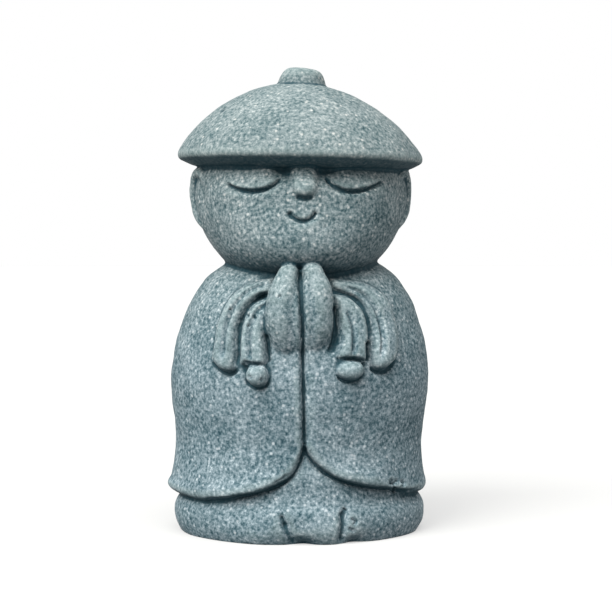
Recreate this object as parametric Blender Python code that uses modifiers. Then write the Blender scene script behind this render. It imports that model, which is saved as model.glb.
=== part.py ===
"""A small cast stone figure of a praying monk in a domed hat, 10 cm tall.

The real piece comes out of one mould, so it is one solid here too. Hat, head, coat and foot are
turned forms, the ears, hands and tassels are rolls and balls laid on them. The big relief is
pushed out of the coat and the face first, then everything is fused like clay, the fine lines are
cut, and the result is thinned to a light mesh with a flat underside.

Metres, +Z up. The figure looks along -Y and stands on z = 0, with the origin under its middle.
Run it with: blender --background --python part.py
"""

import math

import bmesh
import bpy
import numpy as np
from mathutils import Matrix, Vector

HEIGHT = 0.100

# Every other length is in hundredths of the height. A point is (x, z) on the front, seen as the
# viewer sees it, with x to the right, or (x, y, z) with y from the front to the back.
U = HEIGHT / 100

# Heights above the ground
HAT_CROWN_Z = 96.6 * U
HAT_RIM_Z = 80.8 * U
HEAD_TOP_Z = 90.0 * U
CHIN_Z = 51.3 * U
SHOULDER_Z = 60.2 * U
HEM_Z = 9.8 * U

# Half widths and half depths
HAT_HALF_WIDTH = 26.5 * U
HAT_HALF_DEPTH = 25.6 * U
BUTTON_HALF_WIDTH = 5.15 * U
BUTTON_TOP_Z = 99.85 * U
BUTTON_SUNK = 2.65 * U
HEAD_HALF_WIDTH = 22.9 * U
HEAD_HALF_DEPTH = 21.6 * U
COAT_HALF_WIDTH = 28.0 * U
COAT_HALF_DEPTH = 24.2 * U
FOOT_HALF_WIDTH = 27.2 * U
FOOT_HALF_DEPTH = 23.0 * U

# How the hand-made forms sit off the middle
HAT_OFFSET = 0.2 * U
HAT_ROLL = math.radians(1.2)
BUTTON_ROLL = math.radians(7.0)
HAT_LEAN = -0.05
COAT_LEAN = 0.02
HEAD_OFFSET = 0.3 * U
HEAD_FORWARD = 0.6 * U

# The clay in which the forms are fused, and the finished solid
TURN_STEPS = 320
CLAY_GRAIN = 0.40 * U
CLAY_SOFTENING = 5
SOLID_TRIANGLES = 8800
STONE_COLOUR = (0.24, 0.31, 0.34, 1.0)
STONE_ROUGHNESS = 0.9


def clear_scene():
    """Remove whatever the scene starts with."""
    for obj in list(bpy.data.objects):
        bpy.data.objects.remove(obj, do_unlink=True)


def add_object(name, data):
    """Put new data in the scene under a name."""
    obj = bpy.data.objects.new(name, data)
    bpy.context.scene.collection.objects.link(obj)
    return obj


def as_mesh(obj):
    """Replace an object by a plain mesh in world space, with its modifiers applied."""
    name = obj.name
    bpy.context.view_layer.update()
    graph = bpy.context.evaluated_depsgraph_get()
    mesh = bpy.data.meshes.new_from_object(obj.evaluated_get(graph))
    mesh.transform(obj.matrix_world)
    bpy.data.objects.remove(obj)
    return add_object(name, mesh)


def smooth_line(points, per_span=6):
    """Points on a smooth curve through the given ones (Catmull-Rom), in any dimension."""
    given = np.array(points, float)
    padded = np.vstack([2 * given[0] - given[1], given, 2 * given[-1] - given[-2]])
    made = []
    for i in range(len(given) - 1):
        a, b, c, d = padded[i : i + 4]
        for t in np.linspace(0, 1, per_span, endpoint=False):
            bend = (2 * a - 5 * b + 4 * c - d) * t**2 + (3 * b - a - 3 * c + d) * t**3
            made.append(0.5 * (2 * b + (c - a) * t + bend))
    return np.array(made + [given[-1]])


def turned(name, outline, half_width, half_depth):
    """A form turned about Z. The outline is (share of the half width, z) from the top down."""
    mesh = bpy.data.meshes.new(name)
    points = [(max(share, 0.0) * half_width, 0.0, z) for share, z in outline]
    mesh.from_pydata(points, [(i, i + 1) for i in range(len(points) - 1)], [])
    obj = add_object(name, mesh)
    screw = obj.modifiers.new("Turn", "SCREW")
    screw.steps = screw.render_steps = TURN_STEPS
    screw.use_merge_vertices = True
    screw.merge_threshold = 0.00002
    obj.scale.y = half_depth / half_width
    return obj


def ball(name, centre, radii):
    """An ellipsoid, in hundredths."""
    mesh = bpy.data.meshes.new(name)
    bm = bmesh.new()
    bmesh.ops.create_uvsphere(bm, u_segments=32, v_segments=20, radius=1.0)
    bmesh.ops.scale(bm, vec=Vector(radii) * U, verts=bm.verts)
    bm.to_mesh(mesh)
    bm.free()
    obj = add_object(name, mesh)
    obj.location = Vector(centre) * U
    return obj


def roll_of_clay(name, points):
    """A round roll through points of (x, y, z, radius) in hundredths, with a ball on each end."""
    line = smooth_line(points)
    curve = bpy.data.curves.new(name, "CURVE")
    curve.dimensions = "3D"
    curve.bevel_depth = 1.0
    curve.bevel_resolution = 4
    curve.use_fill_caps = True
    spline = curve.splines.new("POLY")
    spline.points.add(len(line) - 1)
    for point, (x, y, z, radius) in zip(spline.points, line * U):
        point.co = (x, y, z, 1.0)
        point.radius = radius
    ends = [ball(f"{name}_end", line[i][:3], [line[i][3]] * 3) for i in (0, -1)]
    return [add_object(name, curve), *ends]


def distance_to(path, points):
    """Distance from each point to a line, and the share of the line at its nearest place."""
    best = np.full(len(points), np.inf)
    share = np.zeros(len(points))
    steps = np.linalg.norm(np.diff(path, axis=0), axis=1)
    for i, step in enumerate(steps):
        ahead = path[i + 1] - path[i]
        t = np.clip((points - path[i]) @ ahead / step**2, 0, 1)
        away = np.linalg.norm(points - path[i] - t[:, None] * ahead, axis=1)
        closer = away < best
        best[closer] = away[closer]
        share[closer] = (steps[:i].sum() + t[closer] * step) / steps.sum()
    return best, share


def is_inside(outline, points):
    """Whether each point is inside a closed outline, by counting the sides to its right."""
    inside = np.zeros(len(points), bool)
    x, z = points.T
    for (x0, z0), (x1, z1) in zip(outline[:-1], outline[1:]):
        if z0 != z1:
            crosses = (z0 > z) != (z1 > z)
            inside ^= crosses & (x < x0 + (z - z0) * (x1 - x0) / (z1 - z0))
    return inside


def stroke(front, points, width, depth, taper=0.2):
    """A cut along a line of (x, z), fading at both ends. A depth below 0 raises a ridge."""
    away, share = distance_to(smooth_line(points), front)
    fade = np.clip(np.minimum(share, 1 - share) / taper + 0.15, 0, 1)
    return -depth * fade * np.exp(-((away / width) ** 2))


def swell(front, centre, radii, height):
    """A soft bump over an ellipse, or a hollow where the height is below 0."""
    return height * np.exp(-(((front - centre) / radii) ** 2).sum(1))


def raised_area(front, outline, height, rounding):
    """An area that stands out by a height inside its outline, with rounded edges."""
    edge = smooth_line(list(outline) + list(outline[:1]), 5)
    away, _ = distance_to(edge, front)
    rise = np.where(is_inside(edge, front), np.clip(away / rounding, 0, 1), 0)
    return height * np.sqrt(1 - (1 - rise) ** 2)


def in_fixed_order(obj):
    """Rebuild a mesh with sorted faces, since Decimate's result hangs on the order of the edges."""
    faces = []
    for face in obj.data.polygons:
        corners = list(face.vertices)
        first = corners.index(min(corners))
        faces.append(corners[first:] + corners[:first])
    bm = bmesh.new()
    points = [bm.verts.new(vertex.co) for vertex in obj.data.vertices]
    for corners in sorted(faces):
        bm.faces.new([points[i] for i in corners])
    bm.to_mesh(obj.data)
    bm.free()


def soften(obj):
    """Round the clay by moving each point half way to the mean of its neighbours, a few times.

    It adds in a fixed order, which the Smooth modifier doesn't, so every run gives the same mesh.
    """
    mesh = obj.data
    count = len(mesh.vertices)
    coords = np.zeros(count * 3)
    ends = np.zeros(len(mesh.edges) * 2, np.int32)
    mesh.vertices.foreach_get("co", coords)
    mesh.edges.foreach_get("vertices", ends)
    coords = coords.reshape(-1, 3)
    here, there = np.concatenate([ends, ends.reshape(-1, 2)[:, ::-1].ravel()]).reshape(-1, 2).T
    neighbours = np.bincount(here, minlength=count)
    for _ in range(CLAY_SOFTENING):
        sums = [np.bincount(here, weights=coords[there, i], minlength=count) for i in range(3)]
        coords = (coords + np.stack(sums, 1) / neighbours[:, None]) / 2
    mesh.vertices.foreach_set("co", coords.ravel())
    mesh.update()


def push_front(obj, relief):
    """Move the front of a mesh away from the axis by a relief, which is in hundredths."""
    mesh = obj.data
    coords = np.zeros(len(mesh.vertices) * 3)
    mesh.vertices.foreach_get("co", coords)
    coords = coords.reshape(-1, 3)
    facing = coords[:, 1] < 0
    flat = coords[facing] * (1, 1, 0)
    outward = flat / np.maximum(np.linalg.norm(flat, axis=1), U)[:, None]
    coords[facing] += outward * relief(coords[facing][:, [0, 2]] / U)[:, None] * U
    mesh.vertices.foreach_set("co", coords.ravel())
    mesh.update()


def carve(obj, relief):
    """Move a mesh's points along their normals by a relief of the point's place."""
    mesh = obj.data
    coords = np.zeros(len(mesh.vertices) * 3)
    normals = np.zeros(len(mesh.vertices) * 3)
    mesh.vertices.foreach_get("co", coords)
    mesh.vertices.foreach_get("normal", normals)
    coords, normals = coords.reshape(-1, 3), normals.reshape(-1, 3)
    coords += normals * relief(coords / U)[:, None] * U
    mesh.vertices.foreach_set("co", coords.ravel())
    mesh.update()


def lean(slope):
    """A sideways lean: x grows by the slope with the height."""
    return Matrix(((1, 0, slope, 0), (0, 1, 0, 0), (0, 0, 1, 0), (0, 0, 0, 1)))


def hat():
    """The domed hat with its rounded rim, rolled and leaning a little, and the button on it."""
    rise = HAT_CROWN_Z - HAT_RIM_Z
    dome = [(r, HAT_RIM_Z + rise * (1 - r**2) ** 0.8) for r in np.sin(np.linspace(0, 1.5, 40))]
    rim = [(1.0, -0.55), (0.985, -1.15), (0.94, -1.75), (0.88, -2.4), (0.7, -3.4), (0.0, -4.0)]
    outline = dome + [(share, HAT_RIM_Z + drop * U) for share, drop in rim]
    body = as_mesh(turned("hat", outline, HAT_HALF_WIDTH, HAT_HALF_DEPTH))
    to_rim = Matrix.Translation((0, 0, HAT_RIM_Z))
    roll = Matrix.Rotation(HAT_ROLL, 4, "Y")
    shift = Matrix.Translation((HAT_OFFSET, 0, 0))
    body.data.transform(shift @ to_rim @ roll @ lean(HAT_LEAN) @ to_rim.inverted())

    under = HAT_CROWN_Z - BUTTON_SUNK - BUTTON_TOP_Z
    side = [(0.0, 0.0), (0.42, -0.1 * U), (0.66, -0.4 * U), (0.80, -1.0 * U), (0.91, -2.0 * U),
            (1.0, -3.4 * U), (1.0, under), (0.0, under)]
    button = turned("button", side, BUTTON_HALF_WIDTH, BUTTON_HALF_WIDTH)
    button.location = (1.05 * U, 0, BUTTON_TOP_Z)
    button.rotation_euler.y = BUTTON_ROLL
    return [body, as_mesh(button)]


def face_relief(front):
    """Nose, brow hollows, closed lids and cheeks."""
    nose = [(0.0, 84.0), (0.1, 79.0), (0.35, 74.0)]
    away, share = distance_to(smooth_line(nose), front)
    push = (0.9 + 0.5 * share) * np.exp(-((away / (3.0 - 0.8 * share)) ** 6))
    push += swell(front, (0.3, 73.4), (1.9, 1.7), 0.7)
    for side, lid_x in ((-1, -10.0), (1, 10.9)):
        push += swell(front, (lid_x, 75.2), (5.4, 2.3), 0.8)
        push += swell(front, (lid_x - side * 5.9, 77.4), (2.2, 2.4), -1.5)
        push += swell(front, (0.4 + side * 10.5, 67.0), (7.0, 5.0), 0.45)
    push += swell(front, (0.3, 66.0), (5.0, 4.5), 0.3)
    return push


def shape_profile(skull):
    """Bring the lower face forward and set the brow back, by the depth of the front half."""
    for vertex in skull.data.vertices:
        if vertex.co.y < 0:
            above_chin = (vertex.co.z - CHIN_Z) / U
            cheeks = 0.37 * math.exp(-(((above_chin - 5.7) / 8.0) ** 2))
            brow = -0.07 * math.exp(-(((above_chin - 28.2) / 4.0) ** 2))
            vertex.co.y *= 1 + cheeks + brow


def coat_relief(front):
    """The parting of the two flaps over the gown, and the sleeve folds beside the hands."""
    left_flap = [(-20.0, 9.2), (-15.0, 9.9), (-10.8, 10.8), (-7.1, 12.0), (-3.6, 13.7), (-1.6, 15.9),
                 (-0.5, 18.6)]
    right_flap = [(1.1, 19.2), (2.7, 17.1), (5.0, 15.1), (8.2, 13.5), (13.3, 12.0), (18.7, 11.0),
                  (23.0, 10.1), (26.5, 9.4)]
    parting = left_flap + [(0.15, 24.0)] + right_flap + [(26.0, 2.0), (-18.0, 2.0)]
    fade = np.clip(np.minimum((22.0 + front[:, 0]) / 8.0, (26.0 - front[:, 0]) / 5.0), 0, 1)
    push = -raised_area(front, parting, 3.0, 0.9) * fade
    for flap in (left_flap[:5], right_flap[2:6]):
        push += stroke(front, [(x, z + 1.4) for x, z in flap], 1.5, -0.45, 0.3)

    left_outer = [(-6.0, 55.0), (-11.1, 53.6), (-14.4, 51.0), (-16.5, 46.9), (-17.6, 42.2), (-18.1, 38.4),
                  (-16.9, 36.5), (-15.0, 35.8), (-13.7, 37.0), (-13.4, 42.3), (-12.8, 45.6), (-11.1, 48.8),
                  (-8.8, 50.9), (-6.0, 52.0)]
    left_inner = [(-6.0, 51.2), (-9.5, 50.1), (-11.3, 48.3), (-12.5, 45.4), (-12.9, 42.0), (-12.6, 37.5),
                  (-10.0, 37.1), (-7.4, 37.2), (-7.3, 40.0), (-7.3, 45.0)]
    right_inner = [(6.0, 51.6), (9.4, 50.8), (11.8, 48.4), (12.8, 45.1), (13.0, 41.5), (12.7, 37.6),
                   (9.8, 38.3), (6.9, 38.5), (7.3, 42.4), (7.0, 46.4)]
    right_outer = [(6.0, 54.8), (12.1, 54.0), (15.9, 52.1), (17.9, 49.2), (19.0, 45.6), (19.4, 41.5),
                   (18.8, 38.0), (16.6, 36.2), (14.6, 36.3), (13.7, 38.0), (13.8, 43.5), (13.1, 47.3),
                   (10.9, 50.7), (6.0, 52.8)]
    push += swell(front, (-28.3, 10.2), (3.0, 1.0), 0.5)
    folds = [raised_area(front, outline, 2.3, rounding)
             for outline, rounding in ((left_outer, 2.1), (left_inner, 1.5), (right_inner, 1.5),
                                       (right_outer, 2.1))]
    return push + np.max(folds, axis=0)


def fold_lines(front):
    """The grooves that divide each sleeve fold in two ribs, and the bands above the tassels."""
    push = stroke(front, [(-7.0, 53.9), (-11.3, 52.2), (-14.2, 49.3), (-15.9, 45.6), (-16.6, 41.5),
                          (-16.7, 38.5)], 0.42, 0.9, 0.1)
    push += stroke(front, [(-7.2, 49.8), (-9.4, 48.3), (-10.9, 45.4), (-11.3, 41.5), (-10.9, 38.2)],
                   0.55, 0.8, 0.1)
    push += stroke(front, [(9.0, 48.4), (10.3, 45.0), (10.5, 41.5), (10.2, 39.2)], 0.45, 0.7, 0.15)
    push += stroke(front, [(8.6, 53.3), (12.6, 51.6), (15.2, 48.6), (16.4, 45.0), (16.7, 41.5),
                           (16.3, 38.6)], 0.5, 0.8, 0.1)
    for gap in ([(-13.5, 37.6), (-13.5, 42.3), (-12.8, 45.6), (-11.1, 48.8), (-8.8, 50.9), (-7.0, 51.6)],
                [(13.5, 37.6), (13.6, 42.0)], [(-7.2, 37.6), (-7.3, 40.0), (-7.8, 43.5)],
                [(5.4, 39.6), (6.4, 42.0), (6.9, 45.5), (6.7, 49.5)]):
        push += stroke(front, gap, 0.42, 0.8, 0.1)
    push += stroke(front, [(-12.4, 37.9), (-10.0, 37.4), (-7.3, 37.6)], 0.35, 0.55, 0.1)
    push += stroke(front, [(6.8, 38.6), (9.8, 38.4), (12.8, 38.0)], 0.35, 0.55, 0.1)
    return push


def ear_hollows(points):
    """The hollow inside each ear."""
    push = np.zeros(len(points))
    for side in (-1, 1):
        push += swell(points, (side * 21.0 + 0.3, -7.6, 72.6), (1.6, 2.4, 3.9), -0.7)
    return push


def fine_lines(front):
    """Eyes, smile, the line between the palms, the slit of the coat and the creases of the gown."""
    left_eye = [(-15.8, 74.4), (-14.5, 73.5), (-12.4, 72.8), (-10.2, 72.6), (-7.8, 73.0), (-5.8, 74.0),
                (-4.5, 75.4)]
    right_eye = [(4.7, 75.5), (6.2, 73.9), (8.4, 72.8), (10.7, 72.6), (13.3, 73.1), (15.6, 74.1),
                 (17.2, 75.0)]
    push = np.zeros(len(front))
    for line in (left_eye, right_eye):
        push += stroke(front, line, 0.42, 0.85, 0.08)
        push += stroke(front, [(x, z + 0.8) for x, z in line], 0.45, -0.25)
    smile = [(-3.0, 68.5), (-2.1, 67.2), (-0.1, 66.4), (1.9, 67.2), (2.8, 68.5)]
    push += stroke(front, smile, 0.55, 0.9, 0.05)
    push += stroke(front, [(-1.6, 71.6), (0.3, 71.1), (2.2, 71.6)], 0.5, 0.6)
    palm_line = [(-0.6, 57.0), (-0.6, 53.0), (-0.3, 48.0), (-0.1, 43.0), (0.0, 39.0)]
    push += stroke(front, palm_line, 0.4, 1.2, 0.05)
    push += stroke(front, palm_line, 1.3, 0.3, 0.1)
    push += stroke(front, [(-0.1, 39.2), (0.1, 30.0), (0.2, 23.0)], 0.42, 1.5, 0.1)
    push += stroke(front, [(0.5, 38.6), (0.8, 30.0), (0.9, 21.5)], 1.3, 0.4, 0.1)
    for edge in ([(-15.0, 9.4), (-10.8, 10.3), (-7.1, 11.5), (-3.6, 13.2), (-1.3, 15.9), (0.0, 19.5)],
                 [(0.4, 19.5), (2.4, 16.8), (5.0, 14.6), (8.2, 13.0), (13.3, 11.5), (18.7, 10.5),
                  (23.0, 9.6)]):
        push += stroke(front, edge, 0.42, 0.7, 0.1)
    push += stroke(front, [(-4.6, 6.6), (-4.2, 5.2), (-3.6, 3.6)], 0.42, 0.8, 0.3)
    push += stroke(front, [(-4.0, 5.0), (-3.2, 2.5), (-2.0, 0.0)], 0.9, 0.5)
    push += stroke(front, [(8.5, 7.4), (8.3, 4.0), (7.6, 0.0)], 1.0, 0.7)
    for x, z, width, height, depth in ((-9.1, 1.5, 6.0, 3.5, 0.7), (5.0, 2.0, 3.8, 3.5, 0.7),
                                       (0.0, -0.2, 2.6, 1.6, -1.9), (10.8, -0.2, 2.2, 1.6, -1.5)):
        push += swell(front, (x, z), (width, height), depth)
    return push


def head():
    """A round head, widest below the eyes, whose jaw narrows to the chin, with its face."""
    shares = [(0.0, 1.0), (0.66, 0.92), (0.92, 0.74), (1.0, 0.56), (0.985, 0.455), (0.94, 0.375),
              (0.86, 0.285), (0.775, 0.215), (0.66, 0.145), (0.5, 0.08), (0.28, 0.02), (0.0, 0.0)]
    outline = smooth_line([(r, CHIN_Z + share * (HEAD_TOP_Z - CHIN_Z)) for r, share in shares], 10)
    skull = turned("head", outline, HEAD_HALF_WIDTH, HEAD_HALF_DEPTH)
    skull.location = (HEAD_OFFSET, -HEAD_FORWARD, 0)
    skull = as_mesh(skull)
    shape_profile(skull)
    push_front(skull, face_relief)
    pieces = [skull]
    rim = [(20.0, -9.4, 76.6, 0.9), (21.4, -6.4, 78.3, 1.1), (22.4, -2.8, 76.8, 1.15),
           (22.9, -1.8, 72.8, 1.15), (22.2, -2.8, 68.6, 1.15), (20.4, -5.0, 65.9, 1.1),
           (19.6, -7.0, 66.4, 0.9)]
    for side in (-1, 1):
        pieces += roll_of_clay("ear", [(side * x + 0.3, y, z, r) for x, y, z, r in rim])
    return pieces


def hands():
    """Two plump palms pressed together under the chin, with the fill between them."""
    left = [(-2.9, -21.5, 55.4, 2.45), (-3.55, -22.0, 53.0, 3.1), (-4.0, -22.3, 50.4, 3.6),
            (-4.1, -22.4, 47.6, 3.75), (-3.95, -22.1, 45.0, 3.7), (-3.45, -21.3, 42.6, 3.5)]
    right = [(2.0, -21.5, 55.7, 2.4), (2.65, -22.0, 53.2, 3.0), (2.95, -22.3, 50.6, 3.35),
             (3.0, -22.4, 47.2, 3.4), (2.8, -22.1, 44.6, 3.35), (2.15, -21.3, 42.6, 3.2)]
    return [*roll_of_clay("left_palm", left), *roll_of_clay("right_palm", right),
            ball("palm_fill", (-0.6, -18.9, 47.3), (6.9, 7.0, 9.5))]


def coat():
    """Sloping shoulders, a full belly, a slight waist and a flared hem, with its relief."""
    shares = [(0.0, 1.0), (0.36, 0.99), (0.535, 0.965), (0.63, 0.935), (0.725, 0.895), (0.785, 0.853),
              (0.857, 0.79), (0.917, 0.70), (0.965, 0.615), (0.99, 0.53), (1.0, 0.455), (0.988, 0.355),
              (0.967, 0.27), (0.955, 0.195), (0.963, 0.12), (0.98, 0.05), (0.996, 0.012),
              (0.988, -0.012), (0.93, -0.03), (0.8, -0.04), (0.0, -0.04)]
    outline = smooth_line([(r, HEM_Z + share * (SHOULDER_Z - HEM_Z)) for r, share in shares], 10)
    body = as_mesh(turned("coat", outline, COAT_HALF_WIDTH, COAT_HALF_DEPTH))
    to_waist = Matrix.Translation((0, 0, 25.0 * U))
    body.data.transform(to_waist @ lean(COAT_LEAN) @ to_waist.inverted())
    push_front(body, coat_relief)
    return [body, ball("left_tassel", (-9.45, -23.4, 35.1), (2.35, 2.3, 2.4)),
            ball("right_tassel", (9.7, -23.2, 36.1), (2.8, 2.2, 2.15))]


def foot():
    """The gown under the coat and the round foot that it spreads into, to just below the ground."""
    shares = [(0.70, 30.0), (0.82, 28.0), (0.87, 22.0), (0.885, 15.0), (0.905, 11.0), (0.94, 8.4),
              (0.985, 6.4), (1.0, 4.6), (0.995, 2.6), (0.97, 0.8), (0.935, -0.6), (0.90, -1.6)]
    side = smooth_line([(r, z * U) for r, z in shares])
    outline = [(0.0, side[0][1]), *side, (0.0, side[-1][1])]
    body = as_mesh(turned("foot", outline, FOOT_HALF_WIDTH, FOOT_HALF_DEPTH))
    push_front(body, lambda front: swell(front, (0.4, 14.0), (13.0, 6.0), 1.7))
    return [body]


def fuse(pieces):
    """Melt all pieces into one closed skin."""
    bm = bmesh.new()
    for piece in pieces:
        plain = as_mesh(piece)
        bm.from_mesh(plain.data)
        bpy.data.objects.remove(plain)
    mesh = bpy.data.meshes.new("clay")
    bm.to_mesh(mesh)
    bm.free()
    clay = add_object("clay", mesh)
    skin = clay.modifiers.new("Fuse", "REMESH")
    skin.mode = "VOXEL"
    skin.voxel_size = CLAY_GRAIN
    return as_mesh(clay)


def thin(obj):
    """Keep only as many triangles as the form needs."""
    faces = len(obj.data.polygons) * 2
    lighten = obj.modifiers.new("Thin", "DECIMATE")
    lighten.ratio = SOLID_TRIANGLES / faces
    lighten.use_collapse_triangulate = True
    return as_mesh(obj)


def stand(obj):
    """Cut the underside flat on the ground and centre the figure over the origin."""
    bm = bmesh.new()
    bm.from_mesh(obj.data)
    geometry = bm.verts[:] + bm.edges[:] + bm.faces[:]
    cut = bmesh.ops.bisect_plane(bm, geom=geometry, dist=0.01 * U, plane_co=(0, 0, 0),
                                 plane_no=(0, 0, -1), clear_outer=True)
    for piece in cut["geom_cut"]:
        if isinstance(piece, bmesh.types.BMVert):
            piece.co.z = 0
    rim = [piece for piece in cut["geom_cut"] if isinstance(piece, bmesh.types.BMEdge)]
    bmesh.ops.contextual_create(bm, geom=rim)
    middle = [(min(v.co[i] for v in bm.verts) + max(v.co[i] for v in bm.verts)) / 2 for i in (0, 1)]
    bmesh.ops.translate(bm, vec=(-middle[0], -middle[1], 0), verts=bm.verts)
    bmesh.ops.recalc_face_normals(bm, faces=bm.faces)
    bm.to_mesh(obj.data)
    bm.free()


def stone():
    """The grey-green cast stone."""
    material = bpy.data.materials.new("cast_stone")
    material.use_nodes = True
    shader = material.node_tree.nodes["Principled BSDF"]
    shader.inputs["Base Color"].default_value = STONE_COLOUR
    shader.inputs["Roughness"].default_value = STONE_ROUGHNESS
    shader.inputs["Metallic"].default_value = 0.0
    return material


def main():
    clear_scene()
    body = fuse(hat() + head() + hands() + coat() + foot())
    in_fixed_order(body)
    soften(body)
    carve(body, ear_hollows)
    for relief in (fold_lines, fine_lines):
        push_front(body, relief)
    body = thin(body)
    stand(body)
    body.name = body.data.name = "monk_statue"
    body.data.materials.append(stone())
    parts = bpy.data.collections.new("monk_statue_parts")
    bpy.context.scene.collection.children.link(parts)
    bpy.context.scene.collection.objects.unlink(body)
    parts.objects.link(body)


main()
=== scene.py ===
# %% [markdown]
# This is a small figure of a praying monk in a domed hat, about ten centimetres tall. The real one
# is cast in one mould from a mix of stone powder and a binder, so it has no joints and no seams,
# only one continuous skin with soft edges. The lesson builds it as a modeller in clay would: rough
# forms first, then they are fused, then lines are cut, and at the end comes the stone's speckle.
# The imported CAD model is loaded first. It is the frame that everything has to fit.

import math

import bmesh
import bpy
import numpy as np
from mathutils import Matrix, Vector


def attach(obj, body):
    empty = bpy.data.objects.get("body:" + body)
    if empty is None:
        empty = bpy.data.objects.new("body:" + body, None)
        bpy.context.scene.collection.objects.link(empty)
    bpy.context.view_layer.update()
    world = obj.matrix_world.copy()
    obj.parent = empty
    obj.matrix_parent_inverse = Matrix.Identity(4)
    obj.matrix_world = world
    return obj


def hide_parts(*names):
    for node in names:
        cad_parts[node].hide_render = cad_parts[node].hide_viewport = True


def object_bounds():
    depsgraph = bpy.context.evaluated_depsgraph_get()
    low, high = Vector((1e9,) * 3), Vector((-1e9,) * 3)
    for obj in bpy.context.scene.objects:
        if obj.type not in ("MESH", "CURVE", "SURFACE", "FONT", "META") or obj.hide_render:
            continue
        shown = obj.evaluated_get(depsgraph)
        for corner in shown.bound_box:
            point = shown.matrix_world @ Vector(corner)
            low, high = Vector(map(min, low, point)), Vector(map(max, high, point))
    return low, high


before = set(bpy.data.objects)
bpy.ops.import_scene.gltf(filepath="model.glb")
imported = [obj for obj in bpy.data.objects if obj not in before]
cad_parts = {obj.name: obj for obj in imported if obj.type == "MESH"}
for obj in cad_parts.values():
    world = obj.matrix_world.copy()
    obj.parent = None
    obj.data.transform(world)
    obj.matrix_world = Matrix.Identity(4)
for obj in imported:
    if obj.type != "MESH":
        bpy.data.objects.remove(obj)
cad_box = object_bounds()
low, high = (Vector(corner) for corner in cad_box)
print("CAD nodes:", sorted(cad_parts))
print("CAD box in mm:", [round(side * 1000, 1) for side in high - low])

# %% [markdown]
# The camera comes first, because the carving is judged through it. The photograph looks at the
# figure nearly from the front, two degrees from the left, from a little above its middle, and from
# about 36 cm away: the far rim of the hat and the near edge of the foot show that perspective. A
# lens of 97.5 mm on Blender's 36 mm sensor then gives the figure its height in the picture.

# %% Camera
CAMERA_AZIMUTH = math.radians(-2)
CAMERA_DISTANCE = 0.3615
CAMERA_HEIGHT = 0.0636
CAMERA_TARGET = Vector((0.00175, 0.001, 0.0483))
LENS_MM = 97.5
SENSOR_WIDTH_MM = 36


def look_at(obj, place, target):
    """Put an object at a place and turn its -Z axis to a target."""
    obj.location = place
    obj.rotation_euler = (Vector(target) - Vector(place)).to_track_quat("-Z", "Y").to_euler()


camera_data = bpy.data.cameras.new("camera")
camera_data.sensor_width = SENSOR_WIDTH_MM
camera_data.lens = LENS_MM
camera_data.clip_start = 0.01
camera = bpy.data.objects.new("camera", camera_data)
bpy.context.scene.collection.objects.link(camera)
bpy.context.scene.camera = camera
camera_place = Vector((
    math.sin(CAMERA_AZIMUTH) * CAMERA_DISTANCE,
    -math.cos(CAMERA_AZIMUTH) * CAMERA_DISTANCE + CAMERA_TARGET.y,
    CAMERA_HEIGHT,
))
look_at(camera, camera_place, CAMERA_TARGET)
print("camera at", [round(value, 4) for value in camera.location])

# %% [markdown]
# A carver thinks in shares of the figure: the head is so many parts of the height, the hat so
# many. All lengths below are therefore in hundredths of the height, and one of them is called U.
# The height comes from the frame. Lines are given by a few chosen points, and a Catmull-Rom curve
# goes smoothly through them, which needs fewer points than straight pieces would.

# %% The unit and smooth lines
HEIGHT = 0.100
U = HEIGHT / 100
print("height of the frame in U:", round((high.z - low.z) / U, 2))


def smooth_line(points, per_span=6):
    """Points on a smooth curve through the given ones, in any dimension."""
    given = np.array(points, float)
    padded = np.vstack([2 * given[0] - given[1], given, 2 * given[-1] - given[-2]])
    made = []
    for i in range(len(given) - 1):
        a, b, c, d = padded[i : i + 4]
        for t in np.linspace(0, 1, per_span, endpoint=False):
            bend = (2 * a - 5 * b + 4 * c - d) * t**2 + (3 * b - a - 3 * c + d) * t**3
            made.append(0.5 * (2 * b + (c - a) * t + bend))
    return np.array(made + [given[-1]])


# %% [markdown]
# A modifier is only a recipe until it is applied, and the steps that follow need real points to
# push. So one helper turns an object into a plain mesh. Two more read all its points as one array
# and write them back, which is many times faster than a loop over the points.

# %% Objects and their meshes
def add_object(name, data):
    """Put new data in the scene under a name."""
    obj = bpy.data.objects.new(name, data)
    bpy.context.scene.collection.objects.link(obj)
    return obj


def as_mesh(obj):
    """Replace an object by a plain mesh in world space, with its modifiers applied."""
    name = obj.name
    bpy.context.view_layer.update()
    graph = bpy.context.evaluated_depsgraph_get()
    mesh = bpy.data.meshes.new_from_object(obj.evaluated_get(graph))
    mesh.transform(obj.matrix_world)
    bpy.data.objects.remove(obj)
    return add_object(name, mesh)


def coords_of(obj):
    """The places of a mesh's points, as an array with a row for each."""
    coords = np.zeros(len(obj.data.vertices) * 3)
    obj.data.vertices.foreach_get("co", coords)
    return coords.reshape(-1, 3)


def place_points(obj, coords):
    """Put a mesh's points at new places."""
    obj.data.vertices.foreach_set("co", coords.ravel())
    obj.data.update()


# %% [markdown]
# Hat, head, coat and foot are all rounder than they are anything else, so each is turned, as on a
# potter's wheel. The Screw modifier turns an outline about Z. The outline is (share of the half
# width, height), and a scale in Y then makes the form a little flatter from front to back. Many
# narrow steps are used, because the relief is pushed out of these meshes later.

# %% Turned forms
TURN_STEPS = 420


def turned(name, outline, half_width, half_depth):
    """A form turned about Z, as a plain mesh."""
    mesh = bpy.data.meshes.new(name)
    points = [(max(share, 0.0) * half_width, 0.0, z) for share, z in outline]
    mesh.from_pydata(points, [(i, i + 1) for i in range(len(points) - 1)], [])
    obj = add_object(name, mesh)
    screw = obj.modifiers.new("Turn", "SCREW")
    screw.steps = screw.render_steps = TURN_STEPS
    screw.use_merge_vertices = True
    screw.merge_threshold = 0.00002
    obj.scale.y = half_depth / half_width
    return as_mesh(obj)


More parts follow.
